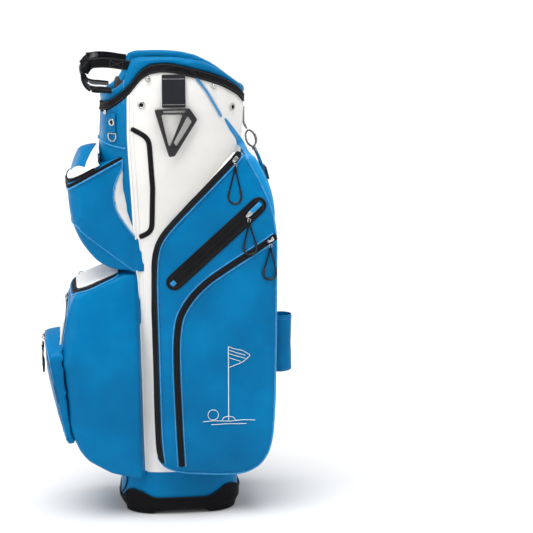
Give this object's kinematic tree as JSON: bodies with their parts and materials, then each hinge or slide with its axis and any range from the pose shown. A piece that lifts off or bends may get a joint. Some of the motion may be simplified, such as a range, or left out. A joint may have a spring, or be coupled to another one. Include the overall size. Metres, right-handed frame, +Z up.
{
  "type": "golf cart bag",
  "caption": "Free-standing golf bag with a moulded base, padded sloping collar with divided top, zipped pockets, lift handle, towel rings and a shoulder strap.",
  "frame": {"origin": "middle of the underside of the moulded base, on the floor", "axes": "+Z up, the pocket side faces -Y, +X is the side with the D-ring tab"},
  "size_m": [0.2592, 0.4832, 0.9006],
  "materials": {
    "blue_pu": "semi-gloss grained PU",
    "white_pu": "semi-gloss grained PU",
    "black_web": "woven webbing",
    "black_fleece": "short fleece",
    "black_plastic": "matte moulded",
    "handle_pu": "smooth black PU",
    "silver": "polished zinc",
    "alloy": "satin",
    "cord": "braided cord"
  },
  "bodies": {
    "bag": {"base": "black_plastic", "body_shell": "blue_pu", "bottom_pad": "black_fleece", "collar_band": "black_web", "collar_rim": "blue_pu", "collar_shell": "white_pu", "divider_sheet_front": "black_fleece", "divider_sheet_rear": "black_fleece", "divider_top": "black_fleece", "eyelet_front_left": "silver", "eyelet_front_right": "silver", "eyelet_rear_left": "silver", "eyelet_rear_right": "silver", "eyelet_side_left": "silver", "eyelet_side_right": "silver", "front_flap": "white_pu", "lift_handle": "handle_pu", "lower_pocket": "blue_pu", "ring_tab": "blue_pu", "shoulder_strap": "blue_pu", "side_pocket_left": "white_pu", "side_pocket_right": "white_pu", "snap_front_left": "silver", "snap_front_right": "silver", "snap_rear_left": "silver", "snap_rear_right": "silver", "snap_side_left": "silver", "snap_side_right": "silver", "spine_panel": "blue_pu", "stay_left": "alloy", "stay_right": "alloy", "strap_hook": "silver", "strap_ring": "silver", "strap_tab": "white_pu", "umbrella_sleeve": "blue_pu", "upper_pocket": "blue_pu", "ball_pocket": "blue_pu"},
    "upper_lid": {"upper_pocket_lid": "white_pu"},
    "cooler_flap": {"cooler_flap": "white_pu"},
    "d_ring": {"d_ring": "silver"},
    "towel_strap_left": {"towel_strap_left": "black_web"},
    "towel_ring_left": {"towel_ring_left": "black_plastic"},
    "towel_strap_right": {"towel_strap_right": "black_web"},
    "towel_ring_right": {"towel_ring_right": "black_plastic"},
    "slider_main_left": {"slider_main_left": "silver"},
    "pull_main_left": {"pull_main_left": "cord"},
    "slider_dry_left": {"slider_dry_left": "silver"},
    "pull_dry_left": {"pull_dry_left": "cord"},
    "slider_lower_left": {"slider_lower_left": "silver"},
    "pull_lower_left": {"pull_lower_left": "cord"},
    "slider_main_right": {"slider_main_right": "silver"},
    "pull_main_right": {"pull_main_right": "cord"},
    "slider_dry_right": {"slider_dry_right": "silver"},
    "pull_dry_right": {"pull_dry_right": "cord"},
    "slider_lower_right": {"slider_lower_right": "silver"},
    "pull_lower_right": {"pull_lower_right": "cord"},
    "slider_ball_left": {"slider_ball_left": "silver"},
    "pull_ball_left": {"pull_ball_left": "cord"},
    "slider_ball_right": {"slider_ball_right": "silver"},
    "pull_ball_right": {"pull_ball_right": "cord"}
  },
  "joints": [
    {"name": "upper_lid_hinge", "type": "hinge", "parent": "bag", "child": "upper_lid", "pos_m": [0, -0.152, 0.7245], "axis": [-1, 0, 0], "range_deg": [0, 80]},
    {"name": "cooler_flap_hinge", "type": "hinge", "parent": "bag", "child": "cooler_flap", "pos_m": [0, -0.11673, 0.48556], "axis": [-1, 0, 0], "range_deg": [0, 40]},
    {"name": "d_ring_swing", "type": "hinge", "parent": "bag", "child": "d_ring", "pos_m": [0.07633, -0.12374, 0.755], "axis": [-0.7287, -0.6849, 0], "range_deg": [0, 85]},
    {"name": "towel_strap_swing_left", "type": "hinge", "parent": "bag", "child": "towel_strap_left", "pos_m": [-0.1128, -0.009, 0.8665], "axis": [0, 1, 0], "range_deg": [0, 85]},
    {"name": "towel_ring_swing_left", "type": "hinge", "parent": "towel_strap_left", "child": "towel_ring_left", "pos_m": [-0.1146, -0.009, 0.8045], "axis": [0, 1, 0], "range_deg": [0, 80]},
    {"name": "towel_strap_swing_right", "type": "hinge", "parent": "bag", "child": "towel_strap_right", "pos_m": [0.1128, -0.009, 0.8665], "axis": [0, -1, 0], "range_deg": [0, 85]},
    {"name": "towel_ring_swing_right", "type": "hinge", "parent": "towel_strap_right", "child": "towel_ring_right", "pos_m": [0.1146, -0.009, 0.8045], "axis": [0, -1, 0], "range_deg": [0, 80]},
    {"name": "zip_main_left", "type": "slide", "parent": "bag", "child": "slider_main_left", "axis": [-0.0919, -0.7111, -0.6971], "range_m": [0, 0.1069]},
    {"name": "pull_swing_main_left", "type": "hinge", "parent": "slider_main_left", "child": "pull_main_left", "pos_m": [-0.11577, 0.106, 0.69806], "axis": [0, 1, 0], "range_deg": [0, 80]},
    {"name": "zip_dry_left", "type": "slide", "parent": "bag", "child": "slider_dry_left", "axis": [0, -0.7441, -0.668], "range_m": [0, 0.1747]},
    {"name": "pull_swing_dry_left", "type": "hinge", "parent": "slider_dry_left", "child": "pull_dry_left", "pos_m": [-0.1267, 0.13, 0.5946], "axis": [0, 1, 0], "range_deg": [0, 80]},
    {"name": "zip_lower_left", "type": "slide", "parent": "bag", "child": "slider_lower_left", "axis": [0, -0.8471, -0.5314], "range_m": [0, 0.0519]},
    {"name": "pull_swing_lower_left", "type": "hinge", "parent": "slider_lower_left", "child": "pull_lower_left", "pos_m": [-0.1267, 0.172, 0.5444], "axis": [0, 1, 0], "range_deg": [0, 80]},
    {"name": "zip_main_right", "type": "slide", "parent": "bag", "child": "slider_main_right", "axis": [0.0919, -0.7111, -0.6971], "range_m": [0, 0.1069]},
    {"name": "pull_swing_main_right", "type": "hinge", "parent": "slider_main_right", "child": "pull_main_right", "pos_m": [0.11577, 0.106, 0.69806], "axis": [0, -1, 0], "range_deg": [0, 80]},
    {"name": "zip_dry_right", "type": "slide", "parent": "bag", "child": "slider_dry_right", "axis": [0, -0.7441, -0.668], "range_m": [0, 0.1747]},
    {"name": "pull_swing_dry_right", "type": "hinge", "parent": "slider_dry_right", "child": "pull_dry_right", "pos_m": [0.1267, 0.13, 0.5946], "axis": [0, -1, 0], "range_deg": [0, 80]},
    {"name": "zip_lower_right", "type": "slide", "parent": "bag", "child": "slider_lower_right", "axis": [0, -0.8471, -0.5314], "range_m": [0, 0.0519]},
    {"name": "pull_swing_lower_right", "type": "hinge", "parent": "slider_lower_right", "child": "pull_lower_right", "pos_m": [0.1267, 0.172, 0.5444], "axis": [0, -1, 0], "range_deg": [0, 80]},
    {"name": "zip_ball_left", "type": "hinge", "parent": "bag", "child": "slider_ball_left", "pos_m": [0, -0.21759, 0.13905], "axis": [0, -0.9819, -0.1895], "range_deg": [0, 20]},
    {"name": "pull_swing_ball_left", "type": "hinge", "parent": "slider_ball_left", "child": "pull_ball_left", "pos_m": [-0.01192, -0.26298, 0.33955], "axis": [-1, 0, 0], "range_deg": [0, 80]},
    {"name": "zip_ball_right", "type": "hinge", "parent": "bag", "child": "slider_ball_right", "pos_m": [0, -0.21759, 0.13905], "axis": [0, 0.9819, 0.1895], "range_deg": [0, 20]},
    {"name": "pull_swing_ball_right", "type": "hinge", "parent": "slider_ball_right", "child": "pull_ball_right", "pos_m": [0.01192, -0.26298, 0.33955], "axis": [-1, 0, 0], "range_deg": [0, 80]}
  ]
}
